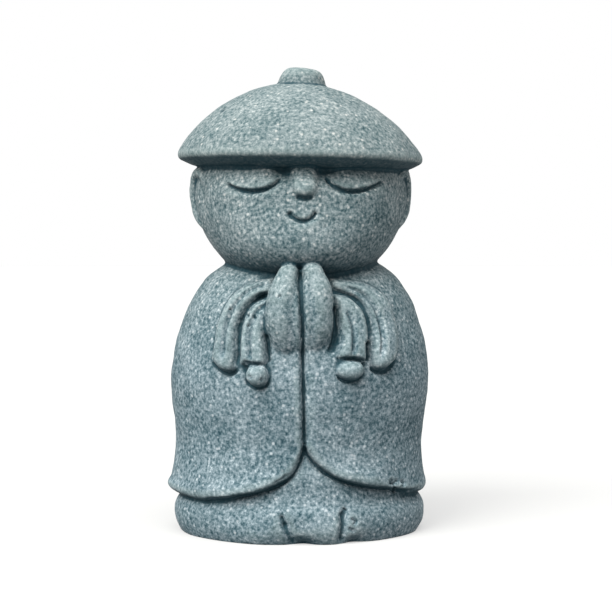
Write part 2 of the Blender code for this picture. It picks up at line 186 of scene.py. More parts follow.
def lean(slope, pivot_z):
    """A sideways lean: x grows by the slope with the height above the pivot."""
    shear = Matrix(((1, 0, slope, 0), (0, 1, 0, 0), (0, 0, 1, 0), (0, 0, 0, 1)))
    return Matrix.Translation((0, 0, pivot_z)) @ shear @ Matrix.Translation((0, 0, -pivot_z))


print("a turn has", TURN_STEPS, "steps of", round(360 / TURN_STEPS, 2), "degrees")

# %% [markdown]
# The hat is a flat dome with a thick rounded rim, and under it a shallow cone runs up to the head.
# A power curve gives the dome: its exponent of 0.8 makes it fuller than a cone and leaner than a
# ball. The hat of the real figure sits a little askew, so it is rolled and leaned. The button on
# its crown is turned too, and tipped to the right.

# %% Hat
HAT_CROWN_Z = 96.6 * U
HAT_RIM_Z = 80.8 * U
HAT_HALF_WIDTH = 26.5 * U
HAT_HALF_DEPTH = 25.6 * U
HAT_FULLNESS = 0.8
HAT_LEAN = -0.05
HAT_ROLL = math.radians(1.2)
HAT_SHIFT_X = 0.2 * U

rise = HAT_CROWN_Z - HAT_RIM_Z
dome = [(r, HAT_RIM_Z + rise * (1 - r**2) ** HAT_FULLNESS) for r in np.sin(np.linspace(0, 1.5, 60))]
rim_under = [(1.0, -0.55), (0.985, -1.15), (0.94, -1.75), (0.88, -2.4), (0.7, -3.4), (0.0, -4.0)]
hat_outline = dome + [(share, HAT_RIM_Z + drop * U) for share, drop in smooth_line(rim_under, 8)]
hat = turned("hat", hat_outline, HAT_HALF_WIDTH, HAT_HALF_DEPTH)
hat.data.transform(lean(HAT_LEAN, HAT_RIM_Z))
to_rim = Matrix.Translation((0, 0, HAT_RIM_Z))
hat.data.transform(to_rim @ Matrix.Rotation(HAT_ROLL, 4, "Y") @ to_rim.inverted())
hat.data.transform(Matrix.Translation((HAT_SHIFT_X, 0, 0)))
forms = [hat]
print("hat:", len(hat.data.vertices), "points")

# %% Button
BUTTON_HALF_WIDTH = 5.15 * U
BUTTON_TOP_Z = 99.85 * U
BUTTON_TIP = math.radians(7)
BUTTON_SHIFT_X = 1.05 * U

button_shares = [(0.0, 0.0), (0.42, -0.1), (0.66, -0.4), (0.80, -1.0), (0.91, -2.0), (1.0, -3.4),
                 (1.0, -5.9), (0.0, -5.9)]
button_outline = [(r, z * U) for r, z in smooth_line(button_shares, 5)]
button = turned("button", button_outline, BUTTON_HALF_WIDTH, BUTTON_HALF_WIDTH)
button.data.transform(Matrix.Rotation(BUTTON_TIP, 4, "Y"))
button.data.transform(Matrix.Translation((BUTTON_SHIFT_X, 0, BUTTON_TOP_Z)))
forms.append(button)
print("button:", len(button.data.vertices), "points")

# %% [markdown]
# Relief is drawn on the front as a carver would draw it on the block: in x and z, as the viewer
# sees it. Each of the next helpers gives, for every point of a mesh, how far it is pushed out. A
# stroke is a cut or a ridge along a line, and a swell is a soft bump or hollow. Adding such pushes
# is quicker and easier to change than sculpting.

# %% Strokes and swells
def distance_to(path, points):
    """Distance from each point to a line, and the share of the line at its nearest place."""
    best = np.full(len(points), np.inf)
    share = np.zeros(len(points))
    steps = np.linalg.norm(np.diff(path, axis=0), axis=1)
    for i, step in enumerate(steps):
        ahead = path[i + 1] - path[i]
        t = np.clip((points - path[i]) @ ahead / step**2, 0, 1)
        away = np.linalg.norm(points - path[i] - t[:, None] * ahead, axis=1)
        closer = away < best
        best[closer] = away[closer]
        share[closer] = (steps[:i].sum() + t[closer] * step) / steps.sum()
    return best, share


def near(points, path, reach):
    """Which points lie in the box around a line, widened by a reach."""
    return ((points > path.min(0) - reach) & (points < path.max(0) + reach)).all(1)


def stroke(front, points, width, depth, taper=0.2):
    """A cut along a line, fading at both ends. A depth below 0 raises a ridge."""
    path = smooth_line(points)
    push = np.zeros(len(front))
    close = near(front, path, 3 * width)
    away, share = distance_to(path, front[close])
    fade = np.clip(np.minimum(share, 1 - share) / taper + 0.15, 0, 1)
    push[close] = -depth * fade * np.exp(-((away / width) ** 2))
    return push


def moved(line, right, up):
    """The same line further to the right and further up."""
    return [(x + right, z + up) for x, z in line]


def all_cuts(front, cuts):
    """Many strokes together, each given as a line, its width, its depth and its taper."""
    push = np.zeros(len(front))
    for line, width, depth, taper in cuts:
        push += stroke(front, line, width, depth, taper)
    return push


def swell(front, centre, radii, height):
    """A soft bump over an ellipse, or a hollow where the height is below 0."""
    return height * np.exp(-(((front - centre) / radii) ** 2).sum(1))


beside_a_cut = stroke(np.array([[0.0, 0.0], [0.5, 0.0], [1.0, 0.0]]), [(0, -5), (0, 5)], 0.5, 1.0)
print("a cut of 1 U on its line and 0.5 and 1 U beside it:", beside_a_cut.round(2))

# %% [markdown]
# A plate such as a sleeve fold is drawn by its outline. To know whether a point is inside it, the
# sides of the outline to the right of the point are counted: an odd number means inside. The
# distance to the outline gives the rounding, a quarter of a circle, so the plate rises steeply at
# its edge and is level further in.

# %% Raised areas
def is_inside(outline, points):
    """Whether each point is inside a closed outline, by counting the sides to its right."""
    inside = np.zeros(len(points), bool)
    x, z = points.T
    for (x0, z0), (x1, z1) in zip(outline[:-1], outline[1:]):
        if z0 != z1:
            crosses = (z0 > z) != (z1 > z)
            inside ^= crosses & (x < x0 + (z - z0) * (x1 - x0) / (z1 - z0))
    return inside


def raised_area(front, outline, height, rounding):
    """An area that stands out by a height inside its outline, with rounded edges."""
    edge = smooth_line(list(outline) + list(outline[:1]), 5)
    push = np.zeros(len(front))
    close = near(front, edge, 0)
    away, _ = distance_to(edge, front[close])
    rise_share = np.where(is_inside(edge, front[close]), np.clip(away / rounding, 0, 1), 0)
    push[close] = height * np.sqrt(1 - (1 - rise_share) ** 2)
    return push


on_a_plate = raised_area(np.array([[4.4, 0.1], [3.0, 0.1], [0.0, 0.1]]),
                         [(-4.0, -4.0), (4.0, -4.0), (4.0, 4.0), (-4.0, 4.0)], 1.0, 2.0)
print("a plate of 1 U near its edge, further in and in its middle:", on_a_plate.round(2))

# %% [markdown]
# All these pushes act on the front half alone and lead away from the figure's axis, so a line that
# runs round towards the side keeps its depth there.

# %% Push the front out
def push_front(obj, relief):
    """Move the front of a mesh away from the axis by a relief, which is in U."""
    coords = coords_of(obj)
    facing = coords[:, 1] < 0
    flat = coords[facing] * (1, 1, 0)
    outward = flat / np.maximum(np.linalg.norm(flat, axis=1), U)[:, None]
    coords[facing] += outward * relief(coords[facing][:, [0, 2]] / U)[:, None] * U
    place_points(obj, coords)


print("points on the front half of the hat:", (coords_of(hat)[:, 1] < 0).sum())

# %% [markdown]
# The head is a ball whose jaw narrows to the chin. Seen from the side, the lower face comes well
# forward and the brow lies back under the hat, so the depth of the front half changes with height.
# The face is a doll's: a straight broad nose that grows out of the brow, two lids, and full cheeks.
# Only these big soft forms are pushed out now. The lines of eyes and mouth are too fine for the
# fusing that follows, so they are cut after it.

# %% Relief of the face
NOSE_LINE = [(0.0, 84.0), (0.1, 79.0), (0.35, 74.0)]
LID_PLACES = ((-1, -10.0), (1, 10.9))


def face_relief(front):
    """Nose, brow hollows, closed lids and cheeks."""
    away, share = distance_to(smooth_line(NOSE_LINE), front)
    # The nose stands out more, and gets a little narrower, towards its tip.
    push = (0.8 + 0.45 * share) * np.exp(-((away / (3.0 - 0.5 * share)) ** 6))
    push += swell(front, (0.3, 73.4), (1.9, 1.7), 0.45)
    for side, lid_x in LID_PLACES:
        push += swell(front, (lid_x, 75.2), (5.4, 2.3), 0.8)
        push += swell(front, (lid_x - side * 5.9, 77.4), (2.2, 2.4), -1.5)
        push += swell(front, (0.4 + side * 10.5, 67.0), (7.0, 5.0), 0.45)
    push += swell(front, (0.3, 66.0), (5.0, 4.5), 0.3)
    return push


nose_tip, brow_hollow = face_relief(np.array([(0.35, 74.0), (-4.1, 77.4)]))
print("nose tip out by", round(nose_tip, 2), "U, brow hollow in by", round(-brow_hollow, 2), "U")

# %% Head
HEAD_TOP_Z = 90.0 * U
CHIN_Z = 51.3 * U
HEAD_HALF_WIDTH = 22.9 * U
HEAD_HALF_DEPTH = 21.6 * U
HEAD_SHIFT = (0.3 * U, -0.6 * U, 0)
# By what share the front is deeper, and at which height above the chin and how far up and down.
CHEEKS_FORWARD, CHEEKS_Z, CHEEKS_REACH = 0.37, 5.7, 8.0
BROW_FORWARD, BROW_Z, BROW_REACH = -0.07, 28.2, 4.0

head_shares = [(0.0, 1.0), (0.66, 0.92), (0.92, 0.74), (1.0, 0.56), (0.985, 0.455), (0.94, 0.375),
               (0.86, 0.285), (0.775, 0.215), (0.66, 0.145), (0.5, 0.08), (0.28, 0.02), (0.0, 0.0)]
head_corners = [(r, CHIN_Z + share * (HEAD_TOP_Z - CHIN_Z)) for r, share in head_shares]
head = turned("head", smooth_line(head_corners, 14), HEAD_HALF_WIDTH, HEAD_HALF_DEPTH)
head.data.transform(Matrix.Translation(HEAD_SHIFT))
coords = coords_of(head)
above_chin = (coords[:, 2] - CHIN_Z) / U
cheeks = CHEEKS_FORWARD * np.exp(-(((above_chin - CHEEKS_Z) / CHEEKS_REACH) ** 2))
brow = BROW_FORWARD * np.exp(-(((above_chin - BROW_Z) / BROW_REACH) ** 2))
coords[:, 1] *= np.where(coords[:, 1] < 0, 1 + cheeks + brow, 1)
place_points(head, coords)
push_front(head, face_relief)
forms.append(head)
print("head:", len(head.data.vertices), "points")

# %% [markdown]
# Ears and hands are laid on, as a modeller lays rolls of clay. A roll is a curve with a round
# bevel whose radius changes from point to point, and a ball closes each end. The ear is one curled
# roll. Each hand is a plump roll, widest below its middle, and a long ball fills the gap between
# them, so that only a groove is left where the palms meet.

# %% A ball of clay
def ball(name, centre, radii):
    """An ellipsoid, in U."""
    mesh = bpy.data.meshes.new(name)
    bm = bmesh.new()
    bmesh.ops.create_uvsphere(bm, u_segments=48, v_segments=32, radius=1.0)
    bmesh.ops.scale(bm, vec=Vector(radii) * U, verts=bm.verts)
    bmesh.ops.translate(bm, vec=Vector(centre) * U, verts=bm.verts)
    bm.to_mesh(mesh)
    bm.free()
    return add_object(name, mesh)


palm_fill = ball("palm_fill", (-0.6, -18.9, 47.3), (6.9, 7.0, 9.5))
print("ball between the palms:", len(palm_fill.data.vertices), "points")

# %% Rolls of clay, and the ears
def roll_of_clay(name, points):
    """A round roll through points of (x, y, z, radius) in U, with a ball on each end."""
    line = smooth_line(points, 8)
    curve = bpy.data.curves.new(name, "CURVE")
    curve.dimensions = "3D"
    curve.bevel_depth = 1.0
    curve.bevel_resolution = 8
    curve.use_fill_caps = True
    spline = curve.splines.new("POLY")
    spline.points.add(len(line) - 1)
    for point, (x, y, z, radius) in zip(spline.points, line * U):
        point.co = (x, y, z, 1.0)
        point.radius = radius
    ends = [ball(f"{name}_end", line[i][:3], [line[i][3]] * 3) for i in (0, -1)]
    return [as_mesh(add_object(name, curve)), *ends]


ear_rim = [(20.6, -8.2, 74.9, 0.7), (21.4, -6.2, 76.9, 0.95), (22.4, -2.8, 76.6, 1.15),
           (22.9, -1.8, 72.8, 1.15), (22.2, -2.8, 68.6, 1.15), (20.4, -5.0, 65.9, 1.1),
           (19.6, -7.0, 66.4, 0.9)]
for side in (-1, 1):
    forms += roll_of_clay("ear", [(side * x + 0.3, y, z, r) for x, y, z, r in ear_rim])
print("each ear: a roll through", len(ear_rim), "points")

# %% Hands
left_palm = [(-2.9, -21.5, 55.4, 2.45), (-3.55, -22.0, 53.0, 3.1), (-4.0, -22.3, 50.4, 3.6),
             (-4.1, -22.4, 47.6, 3.75), (-3.95, -22.1, 45.0, 3.7), (-3.45, -21.3, 42.6, 3.5)]
right_palm = [(2.0, -21.5, 55.7, 2.4), (2.65, -22.0, 53.2, 3.0), (2.95, -22.3, 50.6, 3.35),
              (3.0, -22.4, 47.2, 3.4), (2.8, -22.1, 44.6, 3.35), (2.15, -21.3, 42.6, 3.2)]
forms += [*roll_of_clay("left_palm", left_palm), *roll_of_clay("right_palm", right_palm), palm_fill]
print("forms so far:", len(forms))

# %% [markdown]
# The coat hangs from sloping shoulders over a full belly to a flared hem. In front it opens: two
# rounded flaps part over the gown underneath. That parting is a raised area with its height taken
# off instead of added, so it sinks in. Beside the hands hang two sleeve folds on each side, each a
# plate with round edges, and the inner ones end in a tassel, which is a ball under the fold.

# %% Outlines on the coat
left_flap = [(-20.0, 9.2), (-15.0, 9.9), (-10.8, 10.8), (-7.1, 12.0), (-3.6, 13.7), (-1.6, 15.9),
             (-0.5, 18.6)]
right_flap = [(1.1, 19.2), (2.7, 17.1), (5.0, 15.1), (8.2, 13.5), (13.3, 12.0), (18.7, 11.0),
              (23.0, 10.1), (26.5, 9.4)]
parting = left_flap + [(0.25, 21.5)] + right_flap + [(26.0, 2.0), (-18.0, 2.0)]
left_outer = [(-6.0, 55.0), (-11.1, 53.6), (-14.4, 51.0), (-16.5, 46.9), (-17.6, 42.2),
              (-18.1, 38.4), (-16.9, 36.5), (-15.0, 35.8), (-13.7, 37.0), (-13.4, 42.3),
              (-12.8, 45.6), (-11.1, 48.8), (-8.8, 50.9), (-6.0, 52.0)]
left_inner = [(-6.0, 51.2), (-9.5, 50.1), (-11.3, 48.3), (-12.5, 45.4), (-12.9, 42.0),
              (-12.6, 37.5), (-10.0, 37.1), (-7.4, 37.2), (-7.3, 40.0), (-7.3, 45.0)]
right_inner = [(6.0, 51.6), (9.4, 50.8), (11.8, 48.4), (12.8, 45.1), (13.0, 41.5), (12.7, 37.6),
               (9.8, 38.3), (6.9, 38.5), (7.3, 42.4), (7.0, 46.4)]
right_outer = [(6.0, 54.8), (12.1, 54.0), (15.9, 52.1), (17.9, 49.2), (19.0, 45.6), (19.4, 41.5),
               (18.8, 38.0), (16.6, 36.2), (14.6, 36.3), (13.7, 38.0), (13.8, 43.5), (13.1, 47.3),
               (10.9, 50.7), (6.0, 52.8)]
folds = (left_outer, left_inner, right_inner, right_outer)
print("points in the outlines of the folds:", [len(outline) for outline in folds])

# %% Relief of the coat
PARTING_DEPTH = 3.0
PARTING_ROUNDING = 0.9
FOLD_HEIGHT = 2.3
FOLD_ROUNDINGS = (2.1, 1.5, 1.5, 2.1)


def coat_relief(front):
    """The parting of the flaps, their raised borders, a sharp corner of the hem, and the folds."""
    # The step under the flaps fades out towards the sides, where the hem goes round the body.
    fade = np.clip(np.minimum((22.0 + front[:, 0]) / 8.0, (26.0 - front[:, 0]) / 5.0), 0, 1)
    push = -raised_area(front, parting, PARTING_DEPTH, PARTING_ROUNDING) * fade
    for flap in (left_flap[:5], right_flap[2:6]):
        push += stroke(front, moved(flap, 0, 1.4), 1.5, -0.45, 0.3)
    push += swell(front, (-28.3, 10.2), (3.0, 1.0), 0.5)
    plates = [raised_area(front, outline, FOLD_HEIGHT, rounding)
              for outline, rounding in zip(folds, FOLD_ROUNDINGS)]
    return push + np.max(plates, axis=0)


print("the parting lies", round(-coat_relief(np.array([(0.5, 12.0)]))[0], 2), "U deeper")

# %% Coat and tassels
SHOULDER_Z = 60.2 * U
HEM_Z = 9.8 * U
COAT_HALF_WIDTH = 28.0 * U
COAT_HALF_DEPTH = 24.2 * U
COAT_LEAN = 0.02
COAT_LEAN_FROM_Z = 25.0 * U

coat_shares = [(0.0, 1.0), (0.36, 0.99), (0.535, 0.965), (0.63, 0.935), (0.725, 0.895),
               (0.785, 0.853), (0.857, 0.79), (0.917, 0.70), (0.965, 0.615), (0.99, 0.53),
               (1.0, 0.455), (0.988, 0.355), (0.967, 0.27), (0.955, 0.195), (0.963, 0.12),
               (0.98, 0.05), (0.996, 0.012), (0.988, -0.012), (0.93, -0.03), (0.8, -0.04),
               (0.0, -0.04)]
coat_corners = [(r, HEM_Z + share * (SHOULDER_Z - HEM_Z)) for r, share in coat_shares]
coat = turned("coat", smooth_line(coat_corners, 14), COAT_HALF_WIDTH, COAT_HALF_DEPTH)
coat.data.transform(lean(COAT_LEAN, COAT_LEAN_FROM_Z))
push_front(coat, coat_relief)
forms += [coat, ball("left_tassel", (-9.45, -23.4, 35.1), (2.35, 2.3, 2.4)),
          ball("right_tassel", (9.7, -23.2, 36.1), (2.8, 2.2, 2.15))]
print("coat:", len(coat.data.vertices), "points")

# %% [markdown]
# The gown under the coat spreads into a round foot, which bulges and then rounds in towards the
# ground. Its outline goes on a little below the ground, where the figure is cut flat at the end.

# %% Foot
FOOT_HALF_WIDTH = 27.2 * U
FOOT_HALF_DEPTH = 23.0 * U

foot_shares = [(0.70, 30.0), (0.82, 28.0), (0.87, 22.0), (0.885, 15.0), (0.905, 11.0), (0.94, 8.4),
               (0.985, 6.4), (1.0, 4.6), (0.995, 2.6), (0.97, 0.8), (0.935, -0.6), (0.90, -1.6)]
foot_side = smooth_line([(r, z * U) for r, z in foot_shares], 10)
foot_outline = [(0.0, foot_side[0][1]), *foot_side, (0.0, foot_side[-1][1])]
foot = turned("foot", foot_outline, FOOT_HALF_WIDTH, FOOT_HALF_DEPTH)
push_front(foot, lambda front: swell(front, (0.4, 14.0), (13.0, 6.0), 1.7))
forms.append(foot)
print("foot:", len(foot.data.vertices), "points")

# %% [markdown]
# Now the forms are melted together. A Boolean union would keep hard seams where they meet. The
# Remesh modifier in voxel mode instead lays one even skin round everything, which is what clay
# does under a wet thumb. A few rounds of smoothing take off the steps that the voxels leave. They
# are done in numpy with a fixed order of adding, so that every run gives the same mesh.

# %% Fuse the forms
CLAY_GRAIN = 0.30 * U
CLAY_SOFTENING = 5


def fuse(pieces, name):
    """Melt all pieces into one closed skin."""
    bm = bmesh.new()
    for piece in pieces:
        bm.from_mesh(piece.data)
        bpy.data.objects.remove(piece)
    mesh = bpy.data.meshes.new(name)
    bm.to_mesh(mesh)
    bm.free()
    clay = add_object(name, mesh)
    skin = clay.modifiers.new("Fuse", "REMESH")
    skin.mode = "VOXEL"
    skin.voxel_size = CLAY_GRAIN
    return as_mesh(clay)


def mean_of_neighbours(obj):
    """A function that takes values on a mesh's points and gives the mean of the neighbours'."""
    count = len(obj.data.vertices)
    ends = np.zeros(len(obj.data.edges) * 2, np.int32)
    obj.data.edges.foreach_get("vertices", ends)
    ends = ends.reshape(-1, 2)
    ends = ends[np.lexsort((ends[:, 1], ends[:, 0]))]
    here, there = np.concatenate([ends, ends[:, ::-1]]).T
    neighbours = np.bincount(here, minlength=count)[:, None]

    def mean(values):
        sums = [np.bincount(here, weights=column[there], minlength=count) for column in values.T]
        return np.stack(sums, 1) / neighbours

    return mean


figure = fuse(forms, "monk_figure")
mean = mean_of_neighbours(figure)
coords = coords_of(figure)
for _ in range(CLAY_SOFTENING):
    coords = (coords + mean(coords)) / 2
place_points(figure, coords)
print("fused:", len(figure.data.vertices), "points")

# %% [markdown]
# The fine lines are cut into the fused skin, as with a small gouge: the grooves in the sleeve
# folds, the closed eyes, the smile, the line between the palms, the slit of the coat and the
# creases at the foot. They go straight back towards the figure's axis, so that a deep cut, such as
# the one between the palms, never pushes one side of itself through the other. Only the hollows of
# the ears, which face sideways, are pressed in along the skin's own normals.

# %% Hollows of the ears
def carve(obj, relief):
    """Push a mesh's points along their normals by a relief, given (x, y, z) and returned in U."""
    coords = coords_of(obj)
    normals = np.zeros(coords.size)
    obj.data.vertices.foreach_get("normal", normals)
    coords += normals.reshape(-1, 3) * relief(coords / U)[:, None] * U
    place_points(obj, coords)


def ear_hollows(points):
    """The hollow inside each ear."""
    push = np.zeros(len(points))
    for side in (-1, 1):
        push += swell(points, (side * 20.7 + 0.3, -8.4, 71.9), (1.5, 2.0, 3.2), -0.8)
    return push


carve(figure, ear_hollows)
deepest = ear_hollows(np.array([(21.0, -8.4, 71.9)]))[0]
print("ears hollowed by", round(-deepest, 2), "U")

# %% Lines of the folds
RIB_GROOVES = [
    ([(-7.0, 53.9), (-11.3, 52.2), (-14.2, 49.3), (-15.9, 45.6), (-16.6, 41.5), (-16.7, 38.5)],
     0.5, 1.0, 0.1),
    ([(-7.2, 49.8), (-9.4, 48.3), (-10.9, 45.4), (-11.3, 41.5), (-10.9, 38.2)], 0.55, 0.8, 0.1),
    ([(9.0, 48.4), (10.3, 45.0), (10.5, 41.5), (10.2, 39.2)], 0.45, 0.7, 0.15),
    ([(8.6, 53.3), (12.6, 51.6), (15.2, 48.6), (16.4, 45.0), (16.7, 41.5), (16.3, 38.6)],
     0.5, 0.8, 0.1),
]
GAPS = [
    [(-13.5, 37.6), (-13.5, 42.3), (-12.8, 45.6), (-11.1, 48.8), (-8.8, 50.9), (-7.0, 51.6)],
    [(13.5, 37.6), (13.6, 42.0)],
    [(-7.2, 37.6), (-7.3, 40.0), (-7.8, 43.5)],
    [(5.4, 39.6), (6.4, 42.0), (6.9, 45.5), (6.7, 49.5)],
]
BANDS = [
    [(-12.4, 37.9), (-10.0, 37.4), (-7.3, 37.6)],
    [(6.8, 38.6), (9.8, 38.4), (12.8, 38.0)],
]
UNDERSIDES = [
    [(-18.8, 37.6), (-17.6, 35.9), (-15.2, 35.0), (-13.3, 36.4)],
    [(13.9, 37.0), (15.0, 35.6), (17.2, 35.3), (19.4, 37.4)],
    [(-12.0, 34.4), (-11.0, 33.0), (-9.4, 32.4), (-7.9, 33.0), (-7.0, 34.4)],
    [(6.8, 35.4), (8.0, 34.2), (9.8, 33.7), (11.6, 34.2), (12.7, 35.4)],
]
FOLD_CUTS = [*RIB_GROOVES,
             *((line, 0.6, 1.1, 0.1) for line in GAPS),
             *((line, 0.42, 0.8, 0.1) for line in BANDS),
             *((line, 0.5, 0.8, 0.2) for line in UNDERSIDES)]

push_front(figure, lambda front: all_cuts(front, FOLD_CUTS))
print("cuts in the folds:", len(FOLD_CUTS))

# %% Lines of face, hands, coat and foot
LEFT_EYE = [(-15.8, 74.4), (-14.5, 73.5), (-12.4, 72.8), (-10.2, 72.6), (-7.8, 73.0), (-5.8, 74.0),
            (-4.5, 75.4)]
RIGHT_EYE = [(4.7, 75.5), (6.2, 73.9), (8.4, 72.8), (10.7, 72.6), (13.3, 73.1), (15.6, 74.1),
             (17.2, 75.0)]
SMILE = [(-3.0, 68.5), (-2.1, 67.2), (-0.1, 66.4), (1.9, 67.2), (2.8, 68.5)]
NOSTRILS = [(-1.6, 71.6), (0.3, 71.1), (2.2, 71.6)]
PALM_LINE = [(-0.6, 57.0), (-0.6, 53.0), (-0.3, 48.0), (-0.1, 43.0)]
SLIT = [(-0.1, 38.9), (0.1, 30.0), (0.25, 20.5)]
LEFT_FLAP_EDGE = [(-15.0, 9.4), (-10.8, 10.3), (-7.1, 11.5), (-3.6, 13.2), (-1.3, 15.9),
                  (0.0, 19.5)]
RIGHT_FLAP_EDGE = [(0.4, 19.5), (2.4, 16.8), (5.0, 14.6), (8.2, 13.0), (13.3, 11.5), (18.7, 10.5),
                   (23.0, 9.6)]
FINE_CUTS = [
    (LEFT_EYE, 0.5, 1.0, 0.08), (moved(LEFT_EYE, 0, 0.8), 0.45, -0.25, 0.2),
    (RIGHT_EYE, 0.5, 1.0, 0.08), (moved(RIGHT_EYE, 0, 0.8), 0.45, -0.25, 0.2),
    (SMILE, 0.55, 0.9, 0.05), (NOSTRILS, 0.5, 0.6, 0.2),
    (PALM_LINE + SLIT, 0.52, 1.6, 0.04), (PALM_LINE, 1.3, 0.3, 0.1),
    (moved(SLIT, 0.7, 0), 1.3, 0.4, 0.1),
    (LEFT_FLAP_EDGE, 0.6, 1.0, 0.1), (RIGHT_FLAP_EDGE, 0.6, 1.0, 0.1),
    ([(-4.6, 6.6), (-4.2, 5.2), (-3.6, 3.6)], 0.5, 1.0, 0.3),
    ([(-4.0, 5.0), (-3.2, 2.5), (-2.0, 0.0)], 0.8, 0.8, 0.2),
    ([(8.5, 7.4), (8.3, 4.0), (7.6, 0.0)], 0.8, 1.1, 0.2),
]
# Two soft lobes of the gown at the ground and the hollows beside them: place, half sizes, push.
FOOT_LOBES = ((-9.1, 1.5, 6.0, 3.5, 0.7), (5.0, 2.0, 3.8, 3.5, 0.7),
              (0.0, -0.2, 2.6, 1.6, -1.9), (10.8, -0.2, 2.2, 1.6, -1.5))


def fine_relief(front):
    """Eyes, smile, the edge under the nose, palms, slit, flap edges and the folds at the foot."""
    push = all_cuts(front, FINE_CUTS)
    for x, z, half_width, half_height, out in FOOT_LOBES:
        push += swell(front, (x, z), (half_width, half_height), out)
    return push


push_front(figure, fine_relief)
between_palms = -fine_relief(np.array([(-0.3, 48.0)]))[0]
print("fine cuts:", len(FINE_CUTS))
print("depth between the palms:", round(between_palms, 2), "U")

# %% [markdown]
# Cast stone is never as smooth as clay from a wheel. Small hollows and swellings a few millimetres
# wide come from the hand-made model, and the Displace modifier with a procedural Clouds texture
# adds them.

# %% Hand-made unevenness
UNEVENNESS_SIZE = 4.5
UNEVENNESS_DEPTH = 0.35


def roughen(obj, name, size, depth):
    """Push a mesh in and out by a cloud pattern of a size and a depth in U."""
    clouds = bpy.data.textures.new(name, "CLOUDS")
    clouds.noise_scale = size * U
    clouds.noise_depth = 2
    wobble = obj.modifiers.new(name, "DISPLACE")
    wobble.texture = clouds
    wobble.texture_coords = "GLOBAL"
    wobble.strength = depth * U
    wobble.mid_level = 0.5
    return as_mesh(obj)


even = coords_of(figure)
figure = roughen(figure, "soft_unevenness", UNEVENNESS_SIZE, UNEVENNESS_DEPTH)
unevenness = np.linalg.norm(coords_of(figure) - even, axis=1) / U
print("points moved by up to", round(unevenness.max(), 2), "U")

# %% [markdown]
# Then come the faults of this one casting: pinholes where air stayed in the mould, small chips at
# the hem and on the hat, and a few short scratches at the hem and the foot. They are pressed in
# like the ears' hollows, each at a place of its own.

# %% Pinholes, chips and scratches
FAULT_DEPTH = 0.6
SCRATCH_WIDTH = 0.28
SCRATCH_DEPTH = 0.55
SCRATCHED_UP_TO_Y = -5.0
PINHOLES = [(-10.95, -24.2, 34.96, 0.32), (-8.51, -24.97, 34.4, 0.3), (-4.85, -25.44, 51.32, 0.3),
            (4.54, -19.97, 65.33, 0.3), (-11.32, -21.27, 47.27, 0.27), (-9.89, -21.95, 46.89, 0.25),
            (-11.12, -22.03, 45.25, 0.27), (-14.82, -19.12, 48.41, 0.27)]
CHIPS = [(19.2, -16.9, 11.7, 0.45), (19.6, -16.5, 9.8, 0.5), (-16.72, -7.8, 90.19, 0.9)]
SCRATCHES = [[(8.4, 7.6), (9.0, 6.7)], [(9.9, 5.4), (11.0, 4.6), (10.4, 4.0)],
             [(9.4, 3.4), (10.8, 2.5)], [(-6.0, 12.9), (-4.6, 13.6), (-3.2, 14.9)],
             [(18.3, 12.2), (19.6, 11.0)], [(20.8, 12.3), (21.7, 11.5), (21.2, 10.6)],
             [(19.2, 10.8), (19.6, 10.2), (19.4, 9.4)],
             [(18.2, 12.1), (18.9, 12.6), (19.3, 11.8), (19.9, 12.4), (20.4, 11.8)]]


def casting_faults(points):
    """Round holes and shallow chips around places on the surface, and short cuts on the front."""
    push = np.zeros(len(points))
    for x, y, z, radius in PINHOLES:
        push += swell(points, (x, y, z), (radius, 3.0, radius), -FAULT_DEPTH)
    for x, y, z, radius in CHIPS:
        push += swell(points, (x, y, z), (radius, 2.0, radius * 0.7), -FAULT_DEPTH)
    front = points[:, [0, 2]]
    on_front = points[:, 1] < SCRATCHED_UP_TO_Y
    for line in SCRATCHES:
        push += np.where(on_front, stroke(front, line, SCRATCH_WIDTH, SCRATCH_DEPTH), 0)
    return push


carve(figure, casting_faults)
print("faults:", len(PINHOLES), "pinholes,", len(CHIPS), "chips,", len(SCRATCHES), "scratches")

# %% [markdown]
# Dark patina sits in the grooves, and the material paints shade there and in broader hollows too.
# Edges are rubbed lighter and also get a painted highlight. To know where that is, the mesh is
# compared with a much smoother copy of itself: a point that lies below the smooth copy is in a
# hollow, and one that lies above it is on an edge. The result is kept on the mesh as an attribute,
# which the material can read from every side.

# %% Where the hollows are
FINE_ROUNDS, FINE_DEPTH = 12, 0.10
BROAD_ROUNDS, BROAD_DEPTH = 90, 0.45


def depth_below(obj, rounds):
    """How far each point lies below a copy of the mesh smoothed a number of times, in U."""
    coords = coords_of(obj)
    normals = np.zeros(coords.size)
    obj.data.vertices.foreach_get("normal", normals)
    mean = mean_of_neighbours(obj)
    smooth = coords
    for _ in range(rounds):
        smooth = mean(smooth)
    return ((smooth - coords) * normals.reshape(-1, 3)).sum(1) / U


fine = depth_below(figure, FINE_ROUNDS)
broad = depth_below(figure, BROAD_ROUNDS)
hollow = np.clip(fine / FINE_DEPTH, -1, 1) * 0.5 + np.clip(broad / BROAD_DEPTH, -1, 1) * 0.5
attribute = figure.data.attributes.new("hollow", "FLOAT", "POINT")
attribute.data.foreach_set("value", hollow.astype(np.float32))
print("hollow from", round(hollow.min(), 2), "to", round(hollow.max(), 2))

# %% [markdown]
# The mesh now has far more triangles than it needs on plain parts. Decimate keeps the points where
# the form bends and drops the rest. Its result hangs on the order of the edges, so the mesh is
# first rebuilt with its faces sorted.

# %% Thin the mesh
MOST_TRIANGLES = 192000


